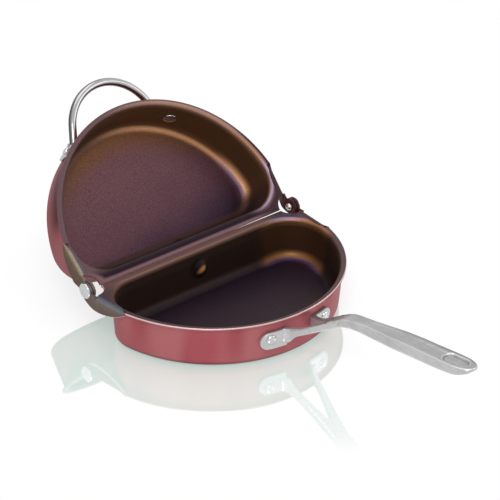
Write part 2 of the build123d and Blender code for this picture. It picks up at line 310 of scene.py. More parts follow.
def enamelMaterial(half):
    # Rose-red metallic enamel: a slow cloud between a red and a paler red that is partly painted soft
    # highlight, the rim's red high up on the shaded side as painted shade (on the upper half a paler
    # painted reflection towards the hinge there), painted highlight streaks along the wall, fine flake,
    # and painted shade as a deep red where the wall rounds under
    material, tree, shader = nodeMaterial(half + "Enamel")
    look, shared, spot = enamelLook[half], enamelLook, attribute(tree, "spot", "Vector")
    side, back, depth = (axis(tree, spot, name) for name in "XYZ")
    cloud = noise(tree, stretched(tree, spot, shared["cloudStretch"]), *shared["cloudNoise"])
    streak = noise(tree, stretched(tree, spot, shared["streakStretch"]), *shared["streakNoise"])
    flake = noise(tree, spot, *shared["flakeNoise"])
    # The cloud's paler red is partly painted soft highlight
    colour = ramp(tree, cloud, [(0.4, look["colour"]), (0.62, look["paleHighlightRed"])])
    shaded, nearRimShade = (side, *shared["shadedSide"]), (depth, *shared["rimShadeDepth"])
    # On the upper half a paler red towards the hinge on the shaded side is painted reflection
    if half == "upper":
        colour = paint(tree, colour, look["low"], shaded, (back, *shared["paleReflectionBack"]))
    # Painted shade: the rim's red high up on the shaded side, towards the far end
    colour = paint(tree, colour, look["rim"], nearRimShade, shaded, (back, *shared["rimShadeBack"]))
    # Painted highlight streaks along the wall
    colour = paint(tree, colour, shared["streak"], ramp(tree, streak, shared["highlightStreaks"]))
    colour = paint(tree, colour, ramp(tree, flake, shared["flakes"]), look["flake"])
    # Painted shade: a deep red where the wall rounds under
    colour = mixColour(tree, straight(tree, depth, *shared["heelShadeDepth"]), shared["heel"], colour)
    tree.links.new(ramp(tree, streak, shared["gloss"]), shader.inputs["Roughness"])
    dress(tree, shader, colour, flake, *shared["bump"], Metallic=shared["metal"],
          Specular_IOR_Level=look["specular"], Specular_Tint=(*linear(look["sheen"]), 1))
    return material


def shadedEnamelMaterial():
    # The ears' hidden inner faces: the same red, darkened as painted shade
    material, tree, shader = nodeMaterial("shadedEnamel")
    cloud = noise(tree, attribute(tree, "spot", "Vector"), *enamelLook["deepNoise"])
    dress(tree, shader, ramp(tree, cloud, enamelLook["deepShade"]), Metallic=0.2, Roughness=0.4,
          Specular_IOR_Level=0.15)
    return material


coatLook = {
    "lower": {
        # The glow colours, lilac, copper and the lip lines are painted highlights; the lip's dark colour is
        # painted shade
        "floor": [(0.05, (38, 27, 42)), (0.3, (46, 32, 44)), (0.8, (54, 39, 46)), (1.3, (44, 33, 42))],
        "fillet": (34, 24, 34), "wall": (52, 37, 31), "wallHigh": (78, 56, 47), "mouth": (98, 70, 64),
        "lip": (84, 66, 72), "glow": (134, 92, 56), "litWall": (76, 50, 33), "mouthHighlight": (166, 116, 82),
        "lilac": (86, 62, 96), "copper": (72, 48, 38), "lipLine": (150, 126, 160),
        "lineCopper": (150, 126, 160), "lipShade": (78, 60, 66),
        "flange": [(0.8, (38, 27, 24)), (0.84, (48, 34, 29)), (0.86, (112, 80, 68)), (0.885, (136, 102, 90)),
                   (0.93, (116, 84, 82)), (1.0, (110, 78, 78))],
        "towards": 1.0, "highlightSide": (0.6, 1.0), "highlightAway": (0.7, 0.4), "lilacAway": (0.8, 0.4),
        "hingeShadeAway": (-0.1, -0.2), "lineSide": (0.75, 1.0), "lineAway": (0.3, 0.12),
    },
    "upper": {
        "floor": [(0.05, (44, 28, 44)), (0.22, (70, 46, 60)), (0.45, (96, 64, 72)), (0.85, (108, 74, 80)),
                  (1.1, (112, 76, 80)), (1.3, (106, 70, 52)), (1.45, (92, 60, 40))],
        "fillet": (92, 62, 50), "wall": (92, 62, 42), "wallHigh": (98, 68, 48), "mouth": (104, 80, 80),
        "lip": (104, 80, 86), "glow": (188, 136, 96), "litWall": (102, 69, 45), "mouthHighlight": (168, 130, 112),
        "lilac": (150, 116, 136), "copper": (120, 80, 54), "lipLine": (166, 142, 166),
        "lineCopper": (164, 120, 94), "lipShade": (60, 42, 44),
        "flange": [(0.76, (34, 22, 32)), (0.938, (34, 22, 32)), (0.952, (90, 64, 74)), (0.97, (124, 94, 96)),
                   (1.0, (112, 84, 86))],
        "towards": -1.0, "highlightSide": (-0.35, 0.5), "highlightAway": (0.22, 0.5), "lilacAway": (0.85, 0.55),
        "hingeShadeAway": (0.4, 0.05), "lineSide": (0.7, 1.0), "lineAway": (1.0, 0.7),
    },
    # Where each colour lies up the wall, as (band, colour's name)
    "walls": {
        "plain": [(0.3, "fillet"), (0.46, "wall"), (0.7, "wall"), (0.8, "wallHigh"), (0.87, "mouth"),
                  (0.93, "lip")],
        # The ramps from here on are painted highlights on the lit side and painted lines of light on the
        # mouth
        "litSideWall": [(0.29, "copper"), (0.335, "glow"), (0.35, "glow"), (0.38, "litWall"), (0.76, "litWall"),
                 (0.86, "mouthHighlight"), (0.9, "mouthHighlight"), (0.96, "lip")],
        "glow": [(0.27, "fillet"), (0.31, "lilac"), (0.335, "lilac"), (0.365, "glow"), (0.39, "glow"),
                 (0.45, "litWall"), (0.74, "litWall"), (0.83, "mouthHighlight"), (0.87, "mouthHighlight"),
                 (0.91, "lilac"), (1.0, "lip")],
        "lilacLine": [(0.78, "litWall"), (0.82, "mouthHighlight"), (0.85, "lipLine"), (0.872, "lipLine"),
                      (0.9, "lip"), (0.93, "lipShade")],
        "copperLine": [(0.77, "litWall"), (0.8, "lineCopper"), (0.89, "lineCopper"), (0.91, "lip"),
                       (0.94, "lipShade")],
    },
    "floorFrom": 0.175, "floorSpan": 1.5, "cloudShare": 0.35, "sideShare": -0.2, "lilacSide": (0.45, 0.9),
    "hingeAway": (0.16, 0.05), "copperAway": (0.7, 1.2), "copperLineAway": (0.42, 0.54),
    "nearFloor": (0.2, 0.3), "onWall": (0.28, 0.32), "onRim": (0.7, 0.8), "onMouth": (0.76, 0.8),
    "belowMouth": (0.85, 0.78), "softFrom": (0.25, 0.4), "cloudNoise": (1.3, 2.0),
    # The dark colour is painted shade below the mouth by the hinge
    "dark": (36, 23, 32), "metal": 0.45, "specular": 0.12, "roughness": 0.42,
    # The dimple's dark colour is painted shade and the glint a painted highlight
    "dimpleShade": (30, 20, 18), "dimpleAt": (-0.03, -0.11, -0.17), "dimpleReach": (0.12, 0.08),
    "glint": (226, 158, 100), "glintAt": (-0.012, -0.065, -0.182), "glintTurn": 0.58,
    "glintStretch": (1.0, 0.0, 1.7), "glintReach": (0.07, 0.005),
    "speckle": (120.0, 2.0, 0.7), "bump": (0.12, 0.0003), "bulgeShare": 0.8,
    "fineSpeckle": [(0.36, (186, 186, 190)), (0.5, (238, 238, 238)), (0.64, (255, 255, 255))],
    "softSpeckle": [(0.36, (228, 228, 230)), (0.6, (248, 248, 248))],
}


def coatMaterial(half):
    # Colour-shifting nonstick: the floor's colour follows the distance from the hinge, the wall's
    # follows the way up it; painted copper and lilac highlights lie in the rounds on one side, painted
    # shade by the hinge, over a fine speckle
    material, tree, shader = nodeMaterial(half + "Coat")
    look, shared, spot = coatLook[half], coatLook, attribute(tree, "spot", "Vector")
    band = attribute(tree, "band", "Fac")
    away = product(tree, axis(tree, spot, "Y"), -1.0)
    right = product(tree, axis(tree, spot, "X"), look["towards"])
    drift = maths(tree, "MULTIPLY_ADD", noise(tree, spot, *shared["cloudNoise"]), shared["cloudShare"], away)
    drift = maths(tree, "MULTIPLY_ADD", right, shared["sideShare"], drift)
    drift = straight(tree, drift, shared["floorFrom"], shared["floorFrom"] + shared["floorSpan"])
    floor = ramp(tree, drift, [(at / shared["floorSpan"], colour) for at, colour in look["floor"]])
    walls = {key: ramp(tree, band, [(at, look[name]) for at, name in stops])
             for key, stops in shared["walls"].items()}
    # On the lit side the wall is painted lighter with copper highlights, lilac ones under the copper towards
    # the hinge
    highlit = product(tree, (right, *look["highlightSide"]), (away, *look["highlightAway"]))
    wall = paint(tree, walls["plain"], walls["litSideWall"], highlit)
    wall = paint(tree, wall, walls["glow"], (highlit, 0.0, 0.5), (right, *shared["lilacSide"]),
                 (away, *look["lilacAway"]))
    # By the hinge the wall below its mouth is painted dark as shade, and the flat rim beside it gets painted
    # strips of shade and highlight
    wall = paint(tree, wall, shared["dark"], (band, *shared["belowMouth"]), (away, *look["hingeShadeAway"]))
    flange = ramp(tree, band, look["flange"])
    wall = paint(tree, wall, flange, (band, *shared["onRim"]), (away, *shared["hingeAway"]))
    # A painted copper highlight spreads from the far rounds into the floor
    floor = paint(tree, floor, look["copper"], (band, *shared["nearFloor"]), (away, *shared["copperAway"]))
    # A painted highlight line on the mouth, copper far from the hinge and lilac near it,
    # with painted shade on the lip beyond it
    line = paint(tree, walls["lilacLine"], walls["copperLine"], (away, *shared["copperLineAway"]))
    wall = paint(tree, wall, line, (right, *look["lineSide"]), (away, *look["lineAway"]),
                 (band, *shared["onMouth"]))
    both = paint(tree, floor, wall, (band, *shared["onWall"]))
    if half == "lower":
        # Painted shade on the dimple's bulge, with a slanting painted copper highlight on it
        bulge = vectorMaths(tree, "DISTANCE", spot, shared["dimpleAt"])
        both = paint(tree, both, shared["dimpleShade"], (bulge, *shared["dimpleReach"]), shared["bulgeShare"])
        place = vectorMaths(tree, "SUBTRACT", spot, shared["glintAt"])
        place = stretched(tree, place, (1, 1, 1), (0, shared["glintTurn"], 0))
        near = vectorMaths(tree, "LENGTH", stretched(tree, place, shared["glintStretch"]))
        both = paint(tree, both, shared["glint"], (near, *shared["glintReach"]))
    speckle = noise(tree, spot, *shared["speckle"])
    fine, soft = (ramp(tree, speckle, shared[key]) for key in ("fineSpeckle", "softSpeckle"))
    grain = paint(tree, fine, soft, (band, *shared["softFrom"]))
    dress(tree, shader, paint(tree, both, grain, 1.0, blend="MULTIPLY"), speckle, *shared["bump"],
          Metallic=shared["metal"], Specular_IOR_Level=shared["specular"], Roughness=shared["roughness"])
    return material


edgeLook = {
    "lower": {"dark": (190, 160, 158), "light": (222, 198, 196), "metal": 0.8, "hinge": (44, 30, 30)},
    "upper": {"dark": (96, 54, 60), "light": (118, 74, 80), "metal": 0.4, "hinge": (62, 42, 46)},
    "stretch": (30, 30, 120), "noise": (6.0, 2.0), "hingeBack": (-0.02, -0.01),
}


def edgeMaterial(half):
    # The sheet's cut edge: bare aluminium below, covered above, painted dark as shade along the hinge's thin
    # gap
    material, tree, shader = nodeMaterial(half + "Edge")
    look, spot = edgeLook[half], attribute(tree, "spot", "Vector")
    lines = noise(tree, stretched(tree, spot, edgeLook["stretch"]), *edgeLook["noise"])
    metal = ramp(tree, lines, [(0.3, look["dark"]), (0.7, look["light"])])
    # Painted shade along the hinge's thin gap
    colour = paint(tree, metal, look["hinge"], (axis(tree, spot, "Y"), *edgeLook["hingeBack"]))
    dress(tree, shader, colour, Metallic=look["metal"], Roughness=0.4, Specular_IOR_Level=0.2)
    return material


earLook = {
    # The pale stops near the middle are the bend's painted highlight; the dark colour is painted shade on the
    # right
    "lower": {"colours": [(0.02, (98, 74, 70)), (0.3, (112, 100, 88)), (0.48, (112, 118, 128)),
                          (0.7, (92, 90, 98)), (1.0, (70, 56, 62))], "towards": 1.0},
    "upper": {"colours": [(0.02, (94, 76, 68)), (0.3, (104, 90, 74)), (0.48, (152, 136, 108)),
                          (0.7, (104, 96, 96)), (1.0, (92, 70, 76))], "towards": -1.0},
    "dark": (60, 36, 38), "earShadeSide": (0.0, 0.5), "speckle": (100.0, 2.0, 0.7),
    "grain": [(0.34, (220, 220, 222)), (0.6, (255, 255, 255))],
}


def earMaterial(half):
    # The ears' coat shifts from brown on the face over a pale painted highlight on the bend to the rim's
    # colour, and is painted dark on the right as shade
    material, tree, shader = nodeMaterial(half + "EarCoat")
    look, spot = earLook[half], attribute(tree, "spot", "Vector")
    right = product(tree, axis(tree, spot, "X"), look["towards"])
    colour = ramp(tree, attribute(tree, "band", "Fac"), look["colours"])
    colour = paint(tree, colour, earLook["dark"], (right, *earLook["earShadeSide"]))
    grain = ramp(tree, noise(tree, spot, *earLook["speckle"]), earLook["grain"])
    colour = paint(tree, colour, grain, 1.0, blend="MULTIPLY")
    dress(tree, shader, colour, Metallic=0.4, Roughness=0.4, Specular_IOR_Level=0.2)
    return material


steelGrain = {"lines": (18.0, 3.0, 0.7), "cloud": (45.0, 2.0), "bump": 0.0002}
steelLook = {
    "handle": {"lines": (60, 4, 60), "dark": (172, 172, 172), "light": (204, 204, 204), "rough": (142, 162),
               # Painted light on the handle: the top's tone is painted shade, the near edges' light colour a
               # painted highlight, the far tone painted shade
               "bump": 0.12, "topShade": (224, 224, 224), "nearEdgeHighlight": (240, 240, 240), "farEdgeShade": (188, 188, 188),
               "top": (0.72, 0.94), "edge": (0.504, 0.56), "nearSide": (0.004, -0.002), "rootMetal": 0.45,
               "farSide": (0.003, 0.0105), "gripFrom": (-0.13, -0.16), "slotAt": -0.3024, "slotRun": 0.00675,
               "slotEdge": 0.00575, "onTop": (0.3, 0.6), "nearTop": (0.2, 0.5),
               "slotShadeAndHighlight": [((206, 206, 206), (-0.002, -0.0008), (0.0002, -0.0006), "MULTIPLY"),
                             ((192, 192, 192), (0.0, 0.0005), (0.0018, 0.0009), "MIX")]},
    "rod": {"lines": (8, 8, 8), "dark": (160, 160, 160), "light": (180, 180, 180), "rough": (96, 112),
            "bump": 0.02, "rodEdgeShade": (120, 120, 120), "turned": (0.55, 0.98)},
    "rivet": {"lines": (12, 12, 12), "dark": (182, 184, 184), "light": (206, 208, 208), "rough": (100, 120),
              "bump": 0.03},
    "washer": {"lines": (12, 12, 12), "dark": (120, 110, 106), "light": (150, 140, 134), "rough": (130, 150),
               "bump": 0.03},
}


def paintHandleLight(tree, shader, look, place, tone):
    # The handle's painted light: a darker top as painted shade, painted highlights on the near side's
    # edges, painted shade on the far edge, and the recess's two painted lines of shade and highlight by
    # the distance from its slot; by the wall the steel mirrors less
    across, along = axis(tree, place, "X"), axis(tree, place, "Y")
    upward = axis(tree, add(tree, "TexCoord").outputs["Normal"], "Z")
    point = add(tree, "NewGeometry").outputs["Pointiness"]
    grip = fade(tree, along, *look["gripFrom"])
    tree.links.new(straight(tree, grip, 0.0, 1.0, look["rootMetal"]), shader.inputs["Metallic"])
    # Painted shade on the top faces, painted highlights on the near side's edges, painted shade on the far
    # edge
    tone = paint(tree, tone, look["topShade"], (upward, *look["top"]), blend="MULTIPLY")
    tone = paint(tree, tone, look["nearEdgeHighlight"], (point, *look["edge"]), (across, *look["nearSide"]), grip)
    tone = paint(tree, tone, look["farEdgeShade"], (across, *look["farSide"]), (upward, *look["nearTop"]),
                 blend="MULTIPLY")
    # Painted shade just inside the recess's edge and a painted highlight line just outside it
    beyond = maths(tree, "ABSOLUTE", maths(tree, "SUBTRACT", along, look["slotAt"]))
    beyond = maths(tree, "MAXIMUM", maths(tree, "SUBTRACT", beyond, look["slotRun"]), 0.0)
    offset = add(tree, "CombineXYZ", {"X": across, "Y": beyond}).outputs["Vector"]
    fromEdge = maths(tree, "SUBTRACT", vectorMaths(tree, "LENGTH", offset), look["slotEdge"])
    for colour, start, stop, blend in look["slotShadeAndHighlight"]:
        tone = paint(tree, tone, colour, (fromEdge, *start), (fromEdge, *stop), (upward, *look["onTop"]),
                     blend=blend)
    return tone


def steelMaterial(kind):
    # Stainless steel: fine brush lines along one axis of the piece, soft clouding in the gloss
    material, tree, shader = nodeMaterial(kind + "Steel")
    look, place = steelLook[kind], add(tree, "TexCoord").outputs["Object"]
    lines = noise(tree, stretched(tree, place, look["lines"]), *steelGrain["lines"])
    mixed = mixColour(tree, 0.5, lines, noise(tree, place, *steelGrain["cloud"]))
    tone = ramp(tree, mixed, [(0.3, look["dark"]), (0.7, look["light"])])
    if kind == "handle":
        tone = paintHandleLight(tree, shader, look, place, tone)
    if kind == "rod":
        # Painted shade: the rod is darker where its surface turns into the loop's plane
        turned = (attribute(tree, "band", "Fac"), *look["turned"])
        tone = paint(tree, tone, look["rodEdgeShade"], turned, blend="MULTIPLY")
    gloss = ramp(tree, mixed, [(at, (level,) * 3) for at, level in zip((0.3, 0.7), look["rough"])])
    tree.links.new(gloss, shader.inputs["Roughness"])
    dress(tree, shader, tone, lines, look["bump"], steelGrain["bump"], Metallic=1.0)
    return material


shadedEnamel = shadedEnamelMaterial()
slotOf = {"coat": 0, "edge": 1, "enamel": 2, "ear": 3, "deep": 4}
ownMaterials = (coatMaterial, edgeMaterial, enamelMaterial, earMaterial)
panMaterials = {half: [*(make(half) for make in ownMaterials), shadedEnamel] for half in ("lower", "upper")}
steel = {kind: steelMaterial(kind) for kind in steelLook}
print("materials made")


def wallPath(count=6000):
    # The wall's outline, walked once round by arc length from the middle of the hinge side: straight,
    # corner arc, big arc about the wall's centre, corner arc, straight; with its outward normals
    big, corner, edge, centre = pan["wallRadius"], pan["cornerRadius"], pan["hingeWall"], pan["wallCentre"]
    cornerY = -(edge + corner)
    cornerX = np.sqrt((big - corner) ** 2 - (cornerY + centre) ** 2)
    low = np.arctan2(cornerY + centre, cornerX)
    turn = np.pi / 2 - low
    lengths = np.array([cornerX, corner * turn, big * (np.pi + 2 * low), corner * turn, cornerX])
    ends = np.concatenate([[0], np.cumsum(lengths)])
    s = np.linspace(0, ends[-1], count)
    part = np.clip(np.searchsorted(ends, s, side="right") - 1, 0, 4)
    into = s - ends[part]
    angle = np.choose(part, [np.pi / 2, np.pi / 2 - into / corner, low - into / big,
                             -np.pi - low - into / corner, -1.5 * np.pi])
    normal = np.stack([np.cos(angle), np.sin(angle)], -1)
    middleX = np.choose(part, [into, cornerX, 0.0, -cornerX, into - cornerX])
    middleY = np.choose(part, [-edge, cornerY, -centre, cornerY, -edge])
    radius = np.choose(part, [0.0, corner, big, corner, 0.0])
    return np.stack([middleX, middleY], -1) + radius[:, None] * normal, normal


def rimOutline(ear, opens):
    # The flat rim's outline on the +X side from the hinge edge's middle: straight edge, round notch,
    # the ear's bend line, then the round rim; the other side mirrors it. On the side that opens, the
    # edge draws back from the hinge line as a thin wedge. The outline's corners come with it.
    start, radius, edge, bend = pan["notchStart"], pan["notchRadius"], pan["hingeEdge"], earShape["bend"]
    along = np.linspace(0, start, 60)
    wedge = np.clip((along - pan["hingeEdgeFrom"]) / (start - pan["hingeEdgeFrom"]), 0, 1)
    flat = np.stack([along, -edge - wedge * (pan["hingeEdgeEnd"] - edge) * opens], -1)
    edge = -flat[-1, 1]
    notch = arc(radius, 180, 270, 40) + [start + radius, -edge]
    line = np.array([[ear["outer"] - bend, -edge - radius], [ear["outer"] - bend, -earShape["straight"]],
                     [ear["kinkOuter"] - bend, -ear["reach"] + pan["kinkOverlap"]]])
    kinkAngle = np.degrees(np.arcsin((pan["rimCentre"] - ear["reach"]) / pan["rimRadius"]))
    rim = arc(pan["rimRadius"], kinkAngle + pan["kinkTurn"], -90, 240) + [0, -pan["rimCentre"]]
    corners = np.concatenate([flat[-1:], notch[-1:], line, rim[:1]])
    return np.concatenate([flat, notch, line, rim]), corners


def insideProfile():
    # Rows of inward offset, depth and band from the floor's edge up to the rim: arcs tangent to the
    # drafted wall, the floor and the rim, as a turner would draw them
    a, r, m = np.radians(pan["draft"]), pan["innerFloorRadius"], pan["mouthRadius"]
    floorDepth = bodyHeight - pan["floor"]
    inner = pan["wall"] + (floorDepth - r) * slope + r / np.cos(a)
    mouth = pan["wall"] + m * slope - m / np.cos(a)
    swing = np.linspace(0, np.pi / 2 - a, 14)
    band = np.linspace(bandEnd["floor"], bandEnd["fillet"], len(swing))
    fillet = np.stack([inner - r * np.sin(swing), floorDepth - r + r * np.cos(swing), band], -1)
    depth = np.linspace(fillet[-1, 1], m - m * np.sin(a), 34)
    band = np.linspace(bandEnd["fillet"], bandEnd["wall"], len(depth))
    wall = np.stack([pan["wall"] + depth * slope, depth, band], -1)[1:-1]
    swing = np.linspace(a, np.pi / 2, 12)
    band = np.linspace(bandEnd["wall"], bandEnd["mouth"], len(swing))
    lip = np.stack([mouth + m * np.cos(swing), m - m * np.sin(swing), band], -1)
    return np.concatenate([fillet, wall, lip])


def outsideProfile():
    # Rows of inward offset and depth: underside of the rim into the drafted outer wall, round the
    # floor's edge to the resting face
    a, u, r, sheet = np.radians(pan["draft"]), pan["underRimRadius"], pan["outerFloorRadius"], pan["sheet"]
    hollow = (sheet + u) * slope - u / np.cos(a)
    swing = np.linspace(np.pi / 2, a, 8)
    under = np.stack([hollow + u * np.cos(swing), sheet + u - u * np.sin(swing)], -1)
    turnDepth = bodyHeight - r
    heel = turnDepth * slope + r / np.cos(a)
    depth = np.linspace(under[-1, 1], turnDepth + r * np.sin(a), 30)[1:-1]
    wall = np.stack([depth * slope, depth], -1)
    swing = np.linspace(a, np.pi / 2, 14)
    fillet = np.stack([heel - r * np.cos(swing), turnDepth + r * np.sin(swing)], -1)
    return np.concatenate([under, wall, fillet])


def panBody(half):
    # One closed shell: rings from the middle of the cooking floor out over the floor's round, the
    # wall, the mouth, the flat rim and its edge, then down the outside to the middle of the base.
    # Each ring has one point on every ray from a point inside the outline.
    path, normal = wallPath()
    inside, outside = insideProfile(), outsideProfile()
    mouth, sheet, eye = inside[-1, 0], pan["sheet"], np.array(pan["eye"])

    def bearing(points):
        # Angle about the eye, falling as the path goes round clockwise
        return np.unwrap(np.arctan2(points[:, 1] - eye[1], points[:, 0] - eye[0]))

    plusSide, corners = rimOutline(ears[half], half == "lower")
    minusSide = rimOutline(ears[half], half == "upper")[0]
    outline = np.concatenate([plusSide, (minusSide * [-1, 1])[::-1][1:]])
    extra, step = bearing(corners), pan["cornerTurn"]
    extra = np.concatenate([extra - step, extra + step, np.radians(np.linspace(*pan["notchRays"]))])
    extra = np.concatenate([extra, np.pi - extra, np.radians(np.linspace(*pan["dimpleRays"]))])
    extra = np.pi / 2 - np.mod(np.pi / 2 - extra, 2 * np.pi)
    angle = np.unique(np.concatenate([np.pi / 2 - around(pan["evenRays"]), extra]))[::-1]
    angle = angle[(angle <= np.pi / 2) & (angle > -1.5 * np.pi + 1e-5)]

    def at(values, known):
        # The path's values where the rays cross it
        return np.stack([np.interp(-angle, -known, values[:, k]) for k in range(2)], -1)

    mouthAngle = bearing(path - normal * mouth)
    base, out = at(path, mouthAngle), unit(at(normal, mouthAngle))
    rim = at(outline, bearing(outline))
    ray = unit(rim - eye)
    rings, bands, slots = [], [], []

    def ring(points, depth, band, slot):
        # One ring at a depth under the rim; the faces before it take the slot
        rings.append(np.column_stack([points, np.broadcast_to(-pan["rimGap"] - depth, len(points))]))
        bands.append(band)
        slots.append(slotOf[slot])

    floorRing = base - out * inside[0, 0]
    middle = floorRing.mean(0)
    for part in pan["floorParts"]:
        spread = middle + (floorRing - middle) * part
        ring(spread, bodyHeight - pan["floor"], bandEnd["floor"] * part, "coat")
    for offset, depth, band in inside:
        ring(base - out * offset, depth, band, "coat")
    mouthRing = base - out * mouth
    edge = np.where(rim[:, 1] > pan["hingeBack"], pan["hingeRound"], pan["edgeRound"])
    back = ray * edge[:, None]
    flatEnd, turns = rim - back, np.radians([0, 20, 45, 70, 90])
    for part in pan["rimParts"]:
        band = bandEnd["mouth"] + (1 - bandEnd["mouth"]) * part
        ring(mouthRing + (flatEnd - mouthRing) * part, 0.0, band, "coat")
    for swing in turns[1:]:
        ring(rim - back * (1 - np.sin(swing)), edge * (1 - np.cos(swing)), 1.0, "edge")
    ring(rim, pan["coatEdge"] - 0.05, 1.0, "edge")
    ring(rim, pan["coatEdge"] + 0.05, 1.0, "enamel")
    for swing in turns:
        ring(rim - back * (1 - np.cos(swing)), sheet - edge * (1 - np.sin(swing)), 1.0, "enamel")
    hollow = base - out * outside[0, 0]
    ring(flatEnd + (hollow - flatEnd) * 0.5, sheet, 1.0, "enamel")
    for offset, depth in outside:
        ring(base - out * offset, depth, 1.0, "enamel")
    baseRing = base - out * outside[-1, 0]
    middle = baseRing.mean(0)
    for part in pan["baseParts"]:
        ring(middle + (baseRing - middle) * part, bodyHeight, 1.0, "enamel")

    # Dimple pressed through the hinge wall: a smooth bell shape pushes the wall into the pan
    loops = np.array(rings)
    far = np.hypot(loops[..., 0], loops[..., 2] + pan["rimGap"] + pan["dimpleDown"]) / pan["dimpleRadius"]
    bell = np.where((far < 1) & (loops[..., 1] > pan["dimpleFrom"]), (1 - np.clip(far, 0, 1) ** 2) ** 2, 0)
    loops[..., 1] -= pan["dimpleHeight"] * bell
    return closedShell(half + "PanShell", loops, placeOf[half], panMaterials[half],
                       np.array(slots[1:])[:, None], np.array(bands)[:, None], 40)


def earOutline(ear):
    # Top and bottom of the ear's plate against the distance from the hinge: a circle about the
    # hinge axis, a hollow arc down to the lowest point, a long arc back up to the kink
    end, low, drop, reach = earShape["endRadius"], earShape["low"], ear["drop"], ear["reach"]
    rise = drop - pan["sheet"] - pan["rimGap"]
    longRadius = ((reach - low) ** 2 + rise ** 2) / (2 * rise)
    shortRadius = (low ** 2 + drop ** 2 - end ** 2) / (2 * (drop - end))
    meet = np.arctan2(shortRadius - drop, low)
    v = np.unique(np.concatenate([-end * np.cos(np.linspace(0.02, np.pi - 0.02, 60)),
                                  np.linspace(end, low, 12)[1:], [low + 0.02],
                                  np.linspace(low, reach, 60)[1:]]))

    def hanging(radius):
        # An arc whose lowest point is the ear's own
        return radius - drop - np.sqrt(np.maximum(radius ** 2 - (v - low) ** 2, 0))

    circle = np.sqrt(np.maximum(end ** 2 - v ** 2, 0))
    bottom = np.where(v < low, hanging(shortRadius), hanging(longRadius))
    bottom = np.where(v < -end * np.cos(meet), -circle, bottom)
    top = np.where(v < end, np.maximum(circle, -pan["rimGap"]), -pan["rimGap"])
    return v, top, bottom


def earPiece(half, side):
    # The ear's plate as sections across it, one for each distance from the hinge: outer face, round
    # bend, a tongue along the rim, inner face and cut edge; by the hinge the tongue goes away and
    # by the kink bend and tongue close up
    ear, sheet = ears[half], pan["sheet"]
    v, top, bottom = earOutline(ear)
    outer = np.interp(v, [earShape["straight"], ear["reach"]],
                      [ear["outer"], ear["kinkOuter"] + earShape["kinkOut"]])
    inside, tall, toKink = outer - sheet, top - bottom, np.maximum(ear["reach"] - v, 0)
    edge = np.minimum(earShape["edge"], tall * 0.3)
    bent = v > earShape["low"] + 0.01
    bend = np.minimum(earShape["bend"], earShape["kinkBend"] + earShape["bendGrowth"] * toKink)
    most = np.maximum(tall - earShape["leastFace"], earShape["leastBend"])
    bend = np.where(bent, np.minimum(bend, most), edge)
    innerBend = np.where(bent, np.minimum(earShape["innerBend"], bend), edge)
    tongue = np.where(bent, np.minimum(earShape["tongue"], earShape["tongueGrowth"] * toKink), 0.0)
    crown = top + np.where(bent, earShape["lift"], 0.0)
    # The skirt leans outwards below the bend, growing in from the hinge's circle
    lean = ear["flare"] * np.clip((v - earShape["leanFrom"]) / earShape["leanRun"], 0, 1)
    points, slots, bands = [], [], []

    def put(x, z, slot, band=0.0):
        # One point of every section; the faces after it take the slot
        points.append(np.stack([x + lean * np.maximum(-z - earShape["leanBelow"], 0), -v, z], -1))
        slots.append(slotOf[slot])
        bands.append(band)

    def innerHeight(rise):
        # Height on the inner bend, never under the cut edge; by the hinge it is the plate's top
        bendHeight = top - sheet - innerBend + innerBend * rise
        return np.where(bent, np.maximum(bendHeight, bottom + edge), top - edge)

    for swing in np.radians(np.linspace(-90, 0, 5)):
        slot = "edge" if swing < -0.3 else "ear"
        put(outer - edge + edge * np.cos(swing), bottom + edge + edge * np.sin(swing), slot)
    for part in np.linspace(0.15, 0.85, 6):
        put(outer, bottom + edge + (tall - edge - bend) * part, "ear", 0.2 * part)
    for swing in np.linspace(0, 0.5 * np.pi, 12):
        x, z = outer - bend + bend * np.cos(swing), crown - bend + bend * np.sin(swing)
        put(x, z, "ear", 0.2 + 0.4 * swing)
    for part in (0.5, 1.0):
        put(outer - bend - tongue * part, crown, "ear", 0.85 + 0.15 * part)
    put(np.where(bent, outer - bend - tongue, inside),
        np.where(bent, np.maximum(top - sheet + 0.05, bottom + 0.1), top - edge), "deep")
    for swing in np.radians(np.linspace(90, 0, 5)):
        x = np.where(bent, inside - innerBend + innerBend * np.cos(swing), inside)
        put(x, innerHeight(np.sin(swing)), "deep")
    for part in np.linspace(0.15, 0.85, 5):
        put(inside, innerHeight(0.0) + (bottom + edge - innerHeight(0.0)) * part, "deep")
    for swing in np.radians(np.linspace(180, 270, 4)):
        put(inside + edge + edge * np.cos(swing), bottom + edge + edge * np.sin(swing), "edge")
    loops = np.stack(points, 1)
    loops[..., 0] *= side
    return closedShell(half + ("RightEar" if side > 0 else "LeftEar"), loops, placeOf[half],
                       panMaterials[half], slots, bands, 30)


placeOf = {"lower": onStand, "upper": opened}
for half in placeOf:
    piece = joined(half + "PanShell", [panBody(half), earPiece(half, -1), earPiece(half, 1)])
    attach(piece, half)
    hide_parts(half + "_pan")
print("pan halves made")


rivetShape = {
    "shank": 2.5, "bite": 0.6, "innerHead": 6.6, "innerHeight": 1.5,
    "handle": {"angle": 15.0, "up": 25.2, "seat": 3.5, "head": 4.6, "height": 2.5},
    "loop": {"angle": 30.5, "up": 19.5, "seat": 2.5, "head": 4.4, "height": 2.3},
    "hingeHead": 7.2, "hingeHeight": 2.2, "hingeTail": 3.6, "hingeTailHeight": 3.4, "pin": 2.6,
    # The hinge head's curve as (distance in from its edge, share of its height)
    "hingeCurve": [(0.0, 0.0), (0.0, 0.35), (0.25, 0.55), (1.0, 0.84), (2.2, 0.96), (4.0, 0.99), (7.1, 1.0)],
}


